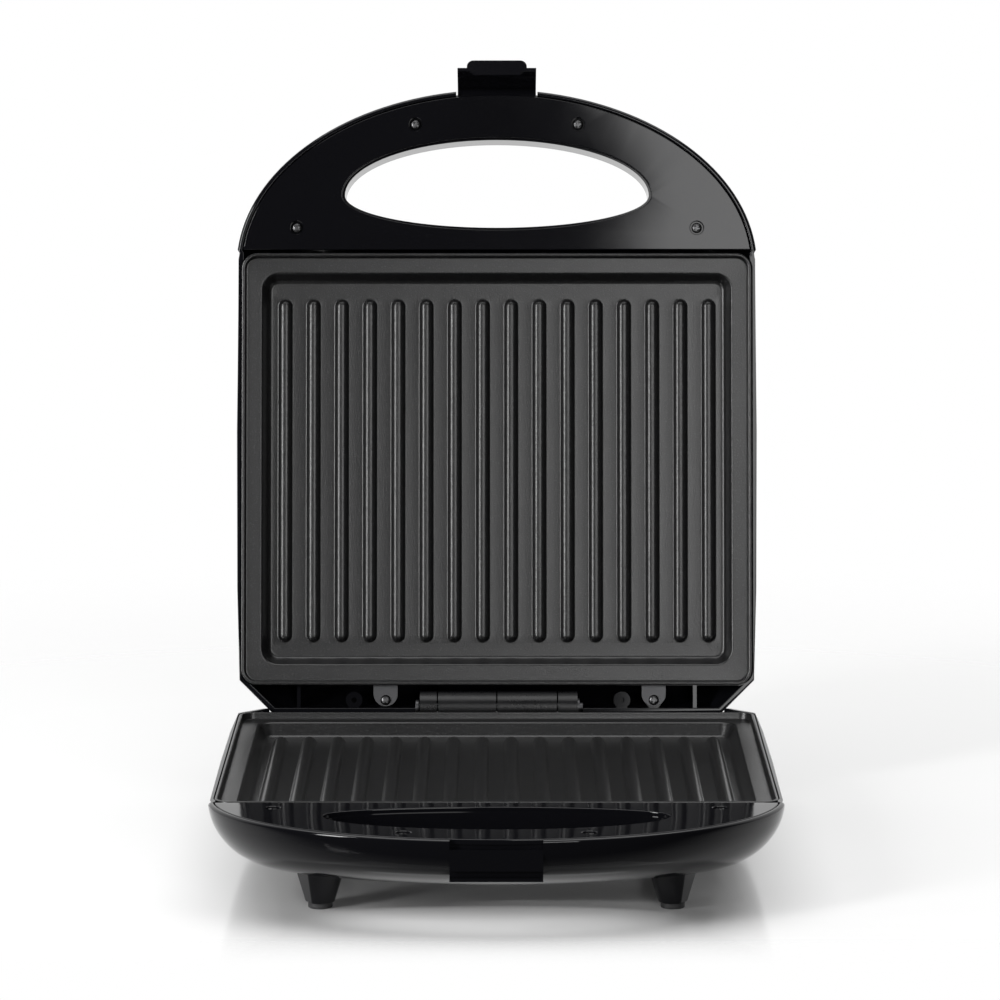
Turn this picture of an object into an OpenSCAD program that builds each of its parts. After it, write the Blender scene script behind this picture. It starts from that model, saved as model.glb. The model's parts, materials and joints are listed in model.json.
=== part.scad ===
// Panini press: two hinged halves with ribbed plates, standing open.
// Both halves are drawn in one "half frame": origin on the hinge axis, +Y towards the
// handle, +Z into the half, away from the parting plane. in_base() and in_lid() place them.
// The finished model has its handle towards -Y, +Z up and stands on z = 0.

/* [Body] */
// Width across the two tips of the handle
body_w = 278; // [240:1:330]
// Width across the rear corners
rear_w = 275; // [238:1:276]
// Depth of each half, from the parting plane to its flat back
half_h = 33.5; // [32:0.5:44]
// How far the handle reaches in front of the middle of its curve
handle_reach = 95.2; // [88:0.2:120]
// Thickness of the moulded walls
wall = 2.6; // [2.2:0.1:3.2]
// Gap left between the two rims when the press is shut
rim_gap = 0.4; // [0.3:0.1:1]
// Length of the corner chamfers beside the hinge
corner_cut = 17.4; // [12:0.2:20]

/* [Hinge] */
// Angle between the open lid and the base
open_angle = 100.3; // [92:0.1:104]
// Outer radius of the hinge knuckles
knuckle_r = 8.4; // [7:0.1:9]
// Diameter of the hinge pin
pin_d = 5; // [4:0.1:6]
// Running clearance of a pin, on the radius
pin_clear = 0.08; // [0.04:0.01:0.1]
// Gap between the faces of two knuckles
knuckle_gap = 0.7; // [0.4:0.1:1.2]

/* [Plates] */
// Width of a cooking plate
plate_w = 273.4; // [236:1:273.4]
// Depth of a cooking plate, front to back
plate_d = 231.5; // [200:0.5:250]
// Distance from the hinge axis to the plate
plate_back = 11.8; // [11:0.1:14]
// Width of the flat land round the recess, with its lip
land_w = 11; // [9:0.5:14]
// Height of the lip above the land
lip_h = 3.5; // [2:0.1:4]
// Width of the lip
lip_w = 2; // [1.6:0.1:3]
// Depth of the cooking recess below the land
recess_h = 7.5; // [5:0.1:8]
// Thickness of the casting
plate_t = 2.2; // [1.8:0.1:2.8]
// Number of ribs
rib_n = 16; // [10:1:18]
// Width of a rib
rib_w = 7; // [5:0.1:8]
// Height of a rib
rib_h = 2.7; // [2:0.1:3.2]
// Distance from the recess floor's edge to the end of the ribs
rib_end = 9.5; // [6:0.1:14]

/* [Handle] */
// Width of the finger slot
slot_w = 165.6; // [120:0.2:190]
// How far the finger slot reaches in front of its widest line
slot_front = 31.2; // [24:0.1:34]
// How far it reaches behind its widest line
slot_back = 18.6; // [14:0.1:20]
// Distance from the cover's rear edge to the slot's widest line
slot_y = 29.3; // [26:0.1:34]
// Thickness of a handle cover
cover_t = 2.4; // [2:0.1:3]
// Gap round a cover or a plate in its seat
seat_gap = 0.4; // [0.3:0.05:0.6]

/* [Latch] */
// Width of the latch
latch_w = 42; // [34:0.5:46]
// Width of its finger tab
tab_w = 32; // [24:0.5:33]
// Angle from fastened to where the latch stands now
latch_rest = 20; // [10:1:60]

/* [Feet] */
// Height of the hinge axis above the table
hinge_h = 49.3; // [48.5:0.1:62]
// Distance between the left and right feet
foot_gauge = 169.6; // [140:0.2:180]
// Thickness of the rubber pads below the feet
pad_t = 2.8; // [2:0.1:4]

/* [Heating] */
// Diameter of the tubular heater
heater_d = 6.5; // [5.5:0.1:6.5]
// Distance between the heater's two legs
heater_w = 124; // [90:1:140]
// Diameter of the mains lead that the inlet takes
lead_d = 6.6; // [5.5:0.1:7.5]

/* [Hidden] */
$fn = 64;
eps = 0.01;

// Faces of one half, as depths below the parting plane
rim_z = rim_gap / 2;
flange_z = rim_z + lip_h;
flange_under = flange_z + plate_t;
floor_z = flange_z + recess_h;
plate_under = floor_z + plate_t;
heater_z = plate_under + heater_d / 2;
reflector_z = heater_z + heater_d / 2 + 2.6;
sheet_t = 0.6;
inner_z = half_h - wall;

// Lines across one half, as distances from the hinge axis
rear_y = -3;
plate_front = plate_back + plate_d;
cover_y = plate_front + 1.7;
arc_y = cover_y - 8.7;
apex_y = arc_y + handle_reach;
slot_mid = cover_y + slot_y;
cover_in = wall + seat_gap;
notch_half = latch_w / 2 + 0.8;
cross_y = [plate_front - 2.2, cover_y + 2.4];
ledge_y = [plate_back - 0.1, plate_back + 2.6];

// Inset of the outer skin at depth z, for a quarter-round of the given size
function bulge(z, size, power = 1) =
  size * pow(1 - sqrt(1 - pow(min(z, half_h) / half_h, 2)), power);
tip_inset = 44;
side_inset = 26;
front_inset = 108;
rear_inset = 14;

// Plan of the skin at depth z, drawn in by "by"
function skin_w(z) = body_w / 2 - bulge(z, tip_inset);
function skin_front(z) = apex_y - bulge(z, front_inset, 1.5);
function handle_arc(z, by) = let(
    half = skin_w(z) - by, reach = skin_front(z) - by - arc_y,
    rise = (cover_y - arc_y) * min(1, reach / handle_reach))
  [for (i = [0:24]) let(t = asin(rise / reach) + i * (180 - 2 * asin(rise / reach)) / 24)
    [half * cos(t) / cos(asin(rise / reach)), arc_y + reach * sin(t)]];
function side_half(z, by, k) =
  k == 0 ? rear_w / 2 - bulge(z, side_inset) - by : body_w / 2 + 0.2 - bulge(z, tip_inset) - by;
function skin_plan(z, by) = let(
    rear = rear_y + bulge(z, rear_inset) + by,
    cut = corner_cut + bulge(z, side_inset) / 2 - by * 0.41,
    mid = plate_back + plate_d / 2)
  concat(handle_arc(z, by), [
    [-side_half(z, by, 1), mid + 20], [-side_half(z, by, 1) + 0.4, mid / 2],
    [-side_half(z, by, 0), rear + cut], [-side_half(z, by, 0) + cut, rear],
    [side_half(z, by, 0) - cut, rear], [side_half(z, by, 0), rear + cut],
    [side_half(z, by, 1) - 0.4, mid / 2], [side_half(z, by, 1), mid + 20]]);

// The moulded outer form of a half, drawn in by "by" and starting at depth "top"
levels = [0.15, 0.3, 0.45, 0.58, 0.7, 0.8, 0.88, 0.94, 0.98, 1];
flattest = 0.985 * half_h;
module skin(by = 0, top = rim_z) {
  under = half_h - by;
  hull() {
    translate([0, 0, top]) linear_extrude(eps) polygon(skin_plan(rim_z, by));
    for (k = levels)
      translate([0, 0, k * under - eps]) linear_extrude(eps) polygon(skin_plan(k * flattest, by));
  }
}

module block(x, y, z) {
  translate([x[0], y[0], z[0]]) cube([x[1] - x[0], y[1] - y[0], z[1] - z[0]]);
}

module rounded_plan(w, y, r) {
  for (x = [-1, 1], k = [0, 1])
    translate([x * (w / 2 - r), k == 0 ? y[0] + r : y[1] - r]) circle(r);
  translate([-w / 2, y[0] + r]) square([w, y[1] - y[0] - 2 * r]);
  translate([-w / 2 + r, y[0]]) square([w - 2 * r, y[1] - y[0]]);
}

module rounded_block(w, y, z, r) {
  translate([0, 0, z[0]]) linear_extrude(z[1] - z[0]) rounded_plan(w, y, r);
}

module post(p, d, z) {
  translate([p[0], p[1], z[0]]) cylinder(d = d, h = z[1] - z[0]);
}

module cross_bar(y, z, d, x) {
  translate([x[0], y, z]) rotate([0, 90, 0]) cylinder(d = d, h = x[1] - x[0]);
}

// A straight rod between two points
module rod(a, b, d) {
  v = b - a;
  flat = norm([v[0], v[1]]);
  translate(a) rotate([0, atan2(flat, v[2]), atan2(v[1], v[0])]) cylinder(d = d, h = norm(v));
}

module wire(points, d) {
  for (i = [0:len(points) - 2]) {
    rod(points[i], points[i + 1], d);
    if (i > 0) translate(points[i]) sphere(d = d);
  }
}

// Placing: the base hangs below the hinge axis, the lid stands up from it
lean = open_angle - 90;
lid_back = max([for (k = levels) skin_front(k * flattest) * sin(lean) + k * half_h * cos(lean)]);
front_y = arc_y + handle_reach * sqrt(1 - pow(2 * notch_half / body_w, 2));
hinge_y = (front_y - lid_back) / 2;

module at_hinge() {
  translate([0, hinge_y, hinge_h]) children();
}

module in_base() {
  at_hinge() rotate([180, 0, 0]) children();
}

module in_lid() {
  at_hinge() rotate([-open_angle, 0, 0]) rotate([0, 0, 180]) children();
}

// Screws: pan head, plain shank
screw_d = 2.8;
head_d = 5.6;
head_h = 1.7;
module screw(p, seat_z, length) {
  translate([p[0], p[1], seat_z]) {
    translate([0, 0, -head_h]) difference() {
      cylinder(d = head_d, h = head_h);
      for (a = [0, 90]) rotate([0, 0, a])
        translate([-1.7, -0.35, -eps]) cube([3.4, 0.7, 0.9]);
    }
    cylinder(d = screw_d, h = length);
  }
}

// Handle slot and screws
function slot_plan(grow) = [for (i = [0:63]) let(t = i * 360 / 64)
  [(slot_w / 2 + grow) * cos(t),
   slot_mid + ((t < 180 ? slot_front : slot_back) + grow) * sin(t)]];
module slot(grow, z) {
  translate([0, 0, z[0]]) linear_extrude(z[1] - z[0]) polygon(slot_plan(grow));
}
outer_screw = [slot_w / 2 + 24.4, cover_y + 11.8];
inner_screw = [43.6, slot_mid + slot_front * sqrt(1 - pow(43.6 / (slot_w / 2), 2)) + 11.6];
cover_screws = [for (s = [-1, 1], p = [outer_screw, inner_screw]) [s * p[0], p[1]]];
cover_under = rim_z + cover_t;
screw_seat = rim_z + 2.1;
boss_d = 8;
// The housings' slot is this much smaller all round than the covers' slot
slot_step = 1.3;

// Plate tabs: steel straps in the hinge trough, one towards each side
tab_x = [-84, 59.5];
tab_size = [13, 1.2];
tab_screw_y = 3.8;
tab_end_y = plate_back + land_w - plate_t - 0.6;
side_boss = 17;

// Reflector screws
reflector_w = plate_w - 37;
reflector_y = [plate_back + 18, plate_front - 18];
reflector_screws = [for (x = [-1, 1], y = [reflector_y[0] + 12, reflector_y[1] - 12])
  [x * (reflector_w / 2 - 10), y]];

// Knuckles along X in the finished model: the lid's and the base's take turns
lid_knuckles = [[-41, -32], [knuckle_gap / 2, 32]];
base_knuckles = [[-32 + knuckle_gap, -knuckle_gap / 2], [32 + knuckle_gap, 43]];
knuckle_room = knuckle_r + 0.6;
pin_x = [lid_knuckles[0][0], base_knuckles[1][1]];
pin_ends = [[pin_x[0] - 3.4, pin_x[0]], [pin_x[1], pin_x[1] + 4]];
cross_wall_x = 106;

// Latch pivot and the catch on the base's handle
latch_y = apex_y - 4;
latch_z = 8;
latch_pin_d = 3;
latch_barrel = 5;
latch_t = 2;
latch_face = latch_y + latch_barrel - latch_t;
catch_z = 15;

module knuckles(spans, reach_z) {
  for (s = spans) {
    cross_bar(0, 0, 2 * knuckle_r, s);
    block(s, [0, knuckle_r], [0, reach_z]);
  }
}

module pin_end_clearance(ends) {
  for (s = ends) cross_bar(0, 0, pin_d + 5.6, s);
}

module knuckle_clearance(spans) {
  for (s = spans) {
    cross_bar(0, 0, 2 * knuckle_room, [s[0] - knuckle_gap, s[1] + knuckle_gap]);
    block([s[0] - knuckle_gap, s[1] + knuckle_gap], [rear_y - 1, 0], [-1, knuckle_room]);
  }
}

function flipped(spans) = [for (s = spans) [-s[1], -s[0]]];

// Walls and posts inside a half, before they are trimmed to its outer form
module inner_walls() {
  block([-body_w / 2, body_w / 2], cross_y, [flange_under, half_h]);
  block([-body_w / 2, body_w / 2], ledge_y, [flange_under, half_h]);
  block([-body_w / 2, body_w / 2], [cover_y + 0.4, cross_y[1]], [cover_under, half_h]);
  for (x = [-1, 1]) translate([x * cross_wall_x - 1, rear_y, flange_under + 0.6])
    cube([2, ledge_y[1] - rear_y, half_h]);
  slot(wall - slot_step, [cover_under, half_h]);
  for (p = cover_screws) post(p, boss_d, [cover_under, half_h]);
  for (p = reflector_screws) post(p, 7, [reflector_z + sheet_t, half_h]);
  for (x = tab_x) post([x, tab_screw_y], 9, [flange_under + tab_size[1], half_h]);
  for (x = tab_x) post([x + side_boss, tab_screw_y], 9, [flange_under + 3, half_h]);
  children();
}

module shell(other, pin_ends, stop_z) {
  difference() {
    union() {
      difference() {
        skin();
        skin(wall, -1);
      }
      intersection() {
        skin();
        inner_walls() children();
      }
    }
    rounded_block(plate_w + 2 * seat_gap, [plate_back - seat_gap, plate_front + seat_gap],
      [-1, flange_under], 8.5);
    slot(-slot_step, [-1, half_h + 1]);
    for (p = cover_screws) post(p, screw_d, [cover_under - 1, screw_seat + 12.2]);
    for (p = reflector_screws) post(p, screw_d, [reflector_z, inner_z + 1]);
    for (x = tab_x) post([x, tab_screw_y], screw_d, [flange_under, flange_under + 11]);
    knuckle_clearance(other);
    pin_end_clearance(pin_ends);
    translate([0, 0, -1]) linear_extrude(cover_under + 1) intersection() {
      polygon(skin_plan(rim_z, wall));
      translate([-body_w / 2, cover_y - seat_gap]) square([body_w, apex_y]);
    }
    for (x = tab_x) block([x - tab_size[0] / 2 - 0.3, x + tab_size[0] / 2 + 0.3],
      [ledge_y[0] - 1, ledge_y[1] + 1], [0, flange_under + tab_size[1] + 0.2]);
    block([-body_w / 2, body_w / 2], [rear_y - 1, 2.4], [-1, stop_z]);
  }
}

// Parts that both halves share
module plate() {
  slope = 3.5;
  in_w = plate_w - 2 * land_w;
  in_y = [plate_back + land_w, plate_front - land_w];
  rib_room = in_w - 2 * slope - rib_w - 10;
  rib_r = (pow(rib_w / 2, 2) + pow(rib_h, 2)) / (2 * rib_h);
  rib_y = [in_y[0] + slope + rib_end, in_y[1] - slope - rib_end];
  difference() {
    union() {
      rounded_block(plate_w, [plate_back, plate_front], [rim_z, flange_under], 8.5);
      hull() {
        rounded_block(in_w + 2 * plate_t, [in_y[0] - plate_t, in_y[1] + plate_t],
          [flange_z, flange_z + 1], 9);
        rounded_block(in_w - 2 * slope + 2 * plate_t,
          [in_y[0] + slope - plate_t, in_y[1] - slope + plate_t],
          [plate_under - 1, plate_under], 7);
      }
    }
    rounded_block(plate_w - 2 * lip_w, [plate_back + lip_w, plate_front - lip_w],
      [-1, flange_z], 6.5);
    hull() {
      rounded_block(in_w, in_y, [flange_z - 1, flange_z], 8.5);
      rounded_block(in_w - 2 * slope, [in_y[0] + slope, in_y[1] - slope],
        [floor_z - eps, floor_z], 6);
    }
  }
  intersection() {
    block([-in_w / 2, in_w / 2], in_y, [flange_z, floor_z + plate_t / 2]);
    for (i = [0:rib_n - 1])
      translate([(i / (rib_n - 1) - 0.5) * rib_room, rib_y[0], floor_z - rib_h + rib_r])
        rotate([-90, 0, 0]) rib(rib_r, rib_y[1] - rib_y[0]);
  }
}

// A round-ended bar along +Z
module rib(r, length) {
  rotate_extrude() difference() {
    union() {
      translate([0, r]) circle(r);
      translate([0, length - r]) circle(r);
      translate([0, r]) square([r, length - 2 * r]);
    }
    translate([-2 * r, -1]) square([2 * r, length + 2]);
  }
}

module cover() {
  difference() {
    translate([0, 0, rim_z]) linear_extrude(cover_t) intersection() {
      polygon(skin_plan(rim_z, cover_in));
      translate([-body_w / 2, cover_y]) square([body_w, apex_y - cover_y]);
    }
    slot(0, [-1, half_h]);
    for (p = cover_screws) {
      post(p, head_d + 1.4, [-1, screw_seat]);
      post(p, screw_d + 0.4, [0, half_h]);
    }
  }
}

module cover_fasteners() {
  for (p = cover_screws) screw(p, screw_seat, 12);
}

module plate_tabs() {
  for (x = tab_x) difference() {
    union() {
      block([x - tab_size[0] / 2, x + tab_size[0] / 2], [tab_size[0] / 2 + 0.3, tab_end_y],
        [flange_under, flange_under + tab_size[1]]);
      intersection() {
        post([x, tab_size[0] / 2 + 0.4], tab_size[0], [flange_under, flange_under + tab_size[1]]);
        block([x - 9, x + 9], [-1, tab_size[0] / 2 + 0.4], [0, half_h]);
      }
    }
    post([x, tab_screw_y], screw_d + 0.4, [0, half_h]);
  }
}

module tab_fasteners() {
  for (x = tab_x) screw([x, tab_screw_y], flange_under, 10);
}

// U-shaped tubular heater with a connecting pin at the end of each leg
heater_y = [plate_back + 28, plate_front - 30 - heater_w / 2];
heater_pin_y = heater_y[0] - 10;
lane_y = reflector_y[0] - 1.8;
module heater() {
  translate([0, heater_y[1], heater_z]) rotate_extrude(angle = 180)
    translate([heater_w / 2, 0]) circle(d = heater_d);
  for (x = [-1, 1]) {
    rod([x * heater_w / 2, heater_y[0], heater_z], [x * heater_w / 2, heater_y[1], heater_z],
      heater_d);
    rod([x * heater_w / 2, heater_pin_y, heater_z],
      [x * heater_w / 2, heater_y[0], heater_z], 3);
  }
}

// Pressed saddles that hold the heater against the plate
clamp_places = [[-heater_w / 2, heater_y[0] + 30, 0], [heater_w / 2, heater_y[0] + 30, 0],
  [0, heater_y[1] + heater_w / 2, 90]];
module heater_clamps() {
  room = heater_d + 0.3;
  for (c = clamp_places) translate([c[0], c[1], plate_under]) rotate([0, 0, c[2]])
    difference() {
      block([-heater_d / 2 - 6, heater_d / 2 + 6], [-3.5, 3.5], [0, heater_d + 1]);
      translate([0, -6, heater_d / 2]) rotate([-90, 0, 0]) cylinder(d = room, h = 12);
      block([-room / 2, room / 2], [-6, 6], [-1, heater_d / 2]);
      for (s = [-1, 1]) block([s > 0 ? heater_d / 2 + 1 : -heater_d / 2 - 7,
        s > 0 ? heater_d / 2 + 7 : -heater_d / 2 - 1], [-6, 6], [1, heater_d + 2]);
    }
}

// Folded tray below the heater
module reflector() {
  edge_h = 3.8;
  difference() {
    rounded_block(reflector_w, reflector_y, [reflector_z - edge_h, reflector_z + sheet_t], 6);
    rounded_block(reflector_w - 2 * sheet_t, [reflector_y[0] + sheet_t, reflector_y[1] - sheet_t],
      [reflector_z - edge_h - 1, reflector_z], 6 - sheet_t);
    for (p = reflector_screws) post(p, screw_d + 0.4, [0, half_h]);
  }
}

module reflector_fasteners() {
  for (p = reflector_screws) screw(p, reflector_z, 6);
}

module hinge_bores(spans) {
  for (s = spans)
    cross_bar(0, 0, pin_d + 2 * pin_clear, [s[0] - 1, s[1] + 1]);
}

// ---- Base ----

foot_z = hinge_h - pad_t;
foot_y = [plate_back + 20, cover_y + 10];
foot_top_r = 11.5;
foot_tip_r = 6.4;
pad_stem_d = 5;
pad_stem_h = 6;
inlet_x = 93;
inlet_z = 18;
inlet_d = lead_d + 4;
inlet_l = wall + 3;

module foot(x, y) {
  top_z = half_h - 9;
  translate([x, y, top_z]) cylinder(r1 = foot_top_r + 2.2, r2 = foot_tip_r, h = foot_z - top_z);
}

module base_block() {
  block([-notch_half - 5, notch_half + 5], [latch_face - 9, apex_y], [cover_under, catch_z + 5]);
}

module base_shell() {
  color([0.03, 0.03, 0.035]) in_base() difference() {
    union() {
      shell(lid_knuckles, pin_ends, 4.1) base_block();
      difference() {
        for (x = [-1, 1], y = foot_y) foot(x * foot_gauge / 2, y);
        skin(wall, -1);
      }
      knuckles(base_knuckles, half_h - 8);
      // upright catch face behind the latch, standing out from the bowl
      block([-notch_half, notch_half], [latch_face - 9, latch_face - 0.5], [5, catch_z + 5]);
      translate([inlet_x, rear_y, inlet_z]) rotate([-90, 0, 0])
        cylinder(d = inlet_d + 7, h = inlet_l);
      for (s = [-1, 1]) intersection() {
        skin();
        post([inlet_x + s * 9, clamp_y], clamp_d, [clamp_z, half_h]);
      }
    }
    hinge_bores(base_knuckles);
    for (x = [-1, 1], y = foot_y)
      post([x * foot_gauge / 2, y], pad_stem_d, [foot_z - pad_stem_h - 0.4, foot_z + 1]);
    translate([inlet_x, rear_y - 1, inlet_z]) rotate([-90, 0, 0]) cylinder(d = inlet_d, h = 30);
    translate([inlet_x, rear_y + inlet_l, inlet_z]) rotate([-90, 0, 0])
      cylinder(d = inlet_d + 2, h = 4);
    for (s = [-1, 1])
      post([inlet_x + s * 9, clamp_y], screw_d, [clamp_z - 1, clamp_z - clamp_t + 10.4]);
    // latch recess: a shelf below the rim, the face, and the groove for the hook
    block([-notch_half, notch_half], [latch_face - 4, apex_y + 1], [-1, 5]);
    block([-notch_half, notch_half], [latch_face - 0.5, apex_y + 1], [4, half_h]);
    block([-notch_half, notch_half], [latch_face - 4.2, apex_y + 1], [catch_z, catch_z + 3.4]);
  }
}

module base_handle_cover() {
  color([0.04, 0.04, 0.045]) in_base() cover();
}

module base_cover_screws() {
  color([0.12, 0.12, 0.12]) in_base() cover_fasteners();
}

module base_plate() {
  color([0.16, 0.16, 0.165]) in_base() plate();
}

module base_plate_tabs() {
  color([0.5, 0.5, 0.5]) in_base() plate_tabs();
}

module base_tab_screws() {
  color([0.3, 0.3, 0.3]) in_base() tab_fasteners();
}

module base_heater() {
  color([0.45, 0.44, 0.42]) in_base() heater();
}

module base_heater_clamps() {
  color([0.6, 0.6, 0.6]) in_base() heater_clamps();
}

module base_reflector() {
  color([0.75, 0.76, 0.77]) in_base() reflector();
}

module base_reflector_screws() {
  color([0.4, 0.4, 0.4]) in_base() reflector_fasteners();
}

// Terminal block on the floor, and the leads from it to the heater and the fuse
block_y = plate_back + 6;
block_size = [26, 9, 9];
block_x = 20;
module terminal_block() {
  color([0.85, 0.84, 0.8]) in_base() difference() {
    block([block_x - block_size[0] / 2, block_x + block_size[0] / 2],
      [block_y, block_y + block_size[1]], [inner_z - block_size[2], inner_z]);
    for (x = [-8, 0, 8]) translate([block_x + x, block_y - 1, wire_z])
      rotate([-90, 0, 0]) cylinder(d = 3.2, h = block_size[1] + 2);
  }
}

wire_d = 2.2;
wire_z = inner_z - 4.4;
module base_wires() {
  color([0.8, 0.75, 0.6]) in_base() for (s = [-1, 1])
    wire([[block_x + s * 8, block_y + 3, wire_z], [block_x + s * 8, lane_y, wire_z],
      [s * heater_w / 2, lane_y, wire_z], [s * heater_w / 2, lane_y, heater_z],
      [s * heater_w / 2, heater_pin_y, heater_z]], wire_d);
}

// Disc thermostat against the plate's underside, with its two spade tags
stat_y = plate_back + plate_d / 2;
module thermostat() {
  color([0.2, 0.18, 0.16]) in_base() {
    post([0, stat_y], 16, [plate_under, plate_under + 7.4]);
    block([-12, 12], [stat_y - 3.5, stat_y + 3.5], [plate_under, plate_under + 0.8]);
    for (x = [-1, 1]) block([x * 5 - 1.6, x * 5 + 1.6], [stat_y - 16, stat_y],
      [plate_under + 6, plate_under + 6.8]);
  }
}

module thermal_fuse() {
  color([0.86, 0.86, 0.84]) in_base() {
    fuse_y = stat_y - 32;
    difference() {
      block([-9, 9], [fuse_y - 4, fuse_y + 4], [plate_under, plate_under + 5.6]);
      block([-10, 10], [fuse_y - 2.2, fuse_y + 2.2], [plate_under + 1, plate_under + 4.8]);
      block([-10, -5], [fuse_y - 5, fuse_y + 5], [plate_under + 1, half_h]);
      block([5, 10], [fuse_y - 5, fuse_y + 5], [plate_under + 1, half_h]);
    }
    cross_bar(fuse_y, plate_under + 2.9, 3.9, [-7, 7]);
    cross_bar(fuse_y, plate_under + 2.9, 1, [-16, 16]);
  }
}

module cord_inlet_bush() {
  flange_t = 2;
  color([0.05, 0.05, 0.05]) in_base() translate([inlet_x, rear_y, inlet_z]) rotate([-90, 0, 0])
    difference() {
      union() {
        translate([0, 0, -flange_t]) cylinder(d = inlet_d + 3.6, h = flange_t);
        cylinder(d = inlet_d - 0.1, h = inlet_l + 3);
        translate([0, 0, inlet_l + 0.1]) cylinder(d1 = inlet_d + 1.4, d2 = inlet_d - 0.1, h = 2.9);
      }
      translate([0, 0, -flange_t - 1]) cylinder(d = lead_d, h = 20);
    }
}

clamp_y = plate_back + 5.6;
clamp_d = 5.6;
clamp_z = inlet_z - 2.4;
clamp_t = 3;
module cord_clamp() {
  color([0.1, 0.1, 0.1]) in_base() difference() {
    block([inlet_x - 13, inlet_x + 13], [clamp_y - clamp_d / 2, clamp_y + clamp_d / 2],
      [clamp_z - clamp_t, clamp_z]);
    for (s = [-1, 1]) post([inlet_x + s * 9, clamp_y], screw_d + 0.4, [0, half_h]);
  }
}

module cord_clamp_screws() {
  color([0.4, 0.4, 0.4]) in_base()
    for (s = [-1, 1]) screw([inlet_x + s * 9, clamp_y], clamp_z - clamp_t, 10);
}

module foot_pad(x, y) {
  color([0.1, 0.1, 0.1]) in_base() {
    post([x * foot_gauge / 2, y], 2 * foot_tip_r - 1, [foot_z, foot_z + pad_t]);
    post([x * foot_gauge / 2, y], pad_stem_d - 0.1, [foot_z - pad_stem_h, foot_z]);
  }
}

module front_left_foot_pad() { foot_pad(-1, foot_y[1]); }
module front_right_foot_pad() { foot_pad(1, foot_y[1]); }
module rear_left_foot_pad() { foot_pad(-1, foot_y[0]); }
module rear_right_foot_pad() { foot_pad(1, foot_y[0]); }

// Steel pin through all the knuckles, headed at one end and clipped at the other
module hinge_pin() {
  color([0.7, 0.7, 0.7]) at_hinge() {
    cross_bar(0, 0, pin_d, [pin_x[0] - 1.2, pin_x[1] + 3]);
    cross_bar(0, 0, pin_d + 3, [pin_x[0] - 2.4, pin_x[0] - 0.5]);
  }
}

module hinge_pin_clip() {
  color([0.3, 0.3, 0.32]) at_hinge() difference() {
    cross_bar(0, 0, pin_d + 4.6, [pin_x[1] + 0.1, pin_x[1] + 1.1]);
    cross_bar(0, 0, pin_d, [pin_x[1], pin_x[1] + 2]);
  }
}

// ---- Lid ----

lamp_y = plate_front - 34;
lamp_x = 9;
lamp_d = 6;
lamp_z = inner_z - 3;

module lid_block() {
  block([-notch_half - 6, notch_half + 6], [latch_y - latch_barrel - 3.4, apex_y],
    [cover_under, latch_z + latch_barrel + 3]);
}

module lid_shell() {
  color([0.03, 0.03, 0.035]) in_lid() difference() {
    union() {
      shell(flipped(base_knuckles), flipped(pin_ends), -0.5) lid_block();
      knuckles(flipped(lid_knuckles), half_h - 8);
    }
    hinge_bores(flipped(lid_knuckles));
    for (x = [-1, 1]) post([x * lamp_x, lamp_y], lamp_d + 0.2, [inner_z - 4, half_h + 1]);
    block([-notch_half, notch_half], [latch_y - latch_barrel - 1, apex_y + 1],
      [-1, latch_z + latch_barrel + 0.8]);
    cross_bar(latch_y, latch_z, latch_pin_d, [-notch_half - 4, notch_half + 4]);
  }
}

module lid_handle_cover() {
  color([0.04, 0.04, 0.045]) in_lid() cover();
}

module lid_cover_screws() {
  color([0.12, 0.12, 0.12]) in_lid() cover_fasteners();
}

module lid_plate() {
  color([0.16, 0.16, 0.165]) in_lid() plate();
}

module lid_plate_tabs() {
  color([0.5, 0.5, 0.5]) in_lid() plate_tabs();
}

module lid_tab_screws() {
  color([0.3, 0.3, 0.3]) in_lid() tab_fasteners();
}

module lid_heater() {
  color([0.45, 0.44, 0.42]) in_lid() heater();
}

module lid_heater_clamps() {
  color([0.6, 0.6, 0.6]) in_lid() heater_clamps();
}

module lid_reflector() {
  color([0.75, 0.76, 0.77]) in_lid() reflector();
}

module lid_reflector_screws() {
  color([0.4, 0.4, 0.4]) in_lid() reflector_fasteners();
}

module lid_wires() {
  color([0.8, 0.75, 0.6]) in_lid() for (s = [-1, 1])
    wire([[s * heater_w / 2, heater_pin_y, heater_z], [s * heater_w / 2, lane_y, heater_z],
      [s * heater_w / 2, lane_y, wire_z], [s * lamp_x, lane_y, wire_z],
      [s * lamp_x, lamp_y - 11, wire_z]], wire_d);
}

module lamp_lens(x, colour) {
  color(colour) in_lid() {
    post([x, lamp_y], lamp_d, [inner_z - 0.6, half_h]);
    intersection() {
      translate([x, lamp_y, half_h - 6]) sphere(r = 7.4);
      post([x, lamp_y], lamp_d + 2, [half_h, half_h + 3]);
    }
  }
}

module power_lamp_lens() { lamp_lens(-lamp_x, [0.7, 0.05, 0.03]); }
module ready_lamp_lens() { lamp_lens(lamp_x, [0.05, 0.5, 0.1]); }

module neon_lamps() {
  color([0.9, 0.85, 0.8]) in_lid() for (x = [-1, 1])
    rod([x * lamp_x, lamp_y - 7, lamp_z], [x * lamp_x, lamp_y + 5, lamp_z], 4);
}

module lamp_holder() {
  color([0.8, 0.8, 0.76]) in_lid() for (x = [-1, 1]) difference() {
    block([x * lamp_x - 4, x * lamp_x + 4], [lamp_y - 14, lamp_y - 5],
      [inner_z - 6.4, inner_z]);
    rod([x * lamp_x, lamp_y - 7, lamp_z], [x * lamp_x, lamp_y + 5, lamp_z], 4);
    rod([x * lamp_x, lamp_y - 17, wire_z], [x * lamp_x, lamp_y - 11, wire_z], wire_d);
  }
}

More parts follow.
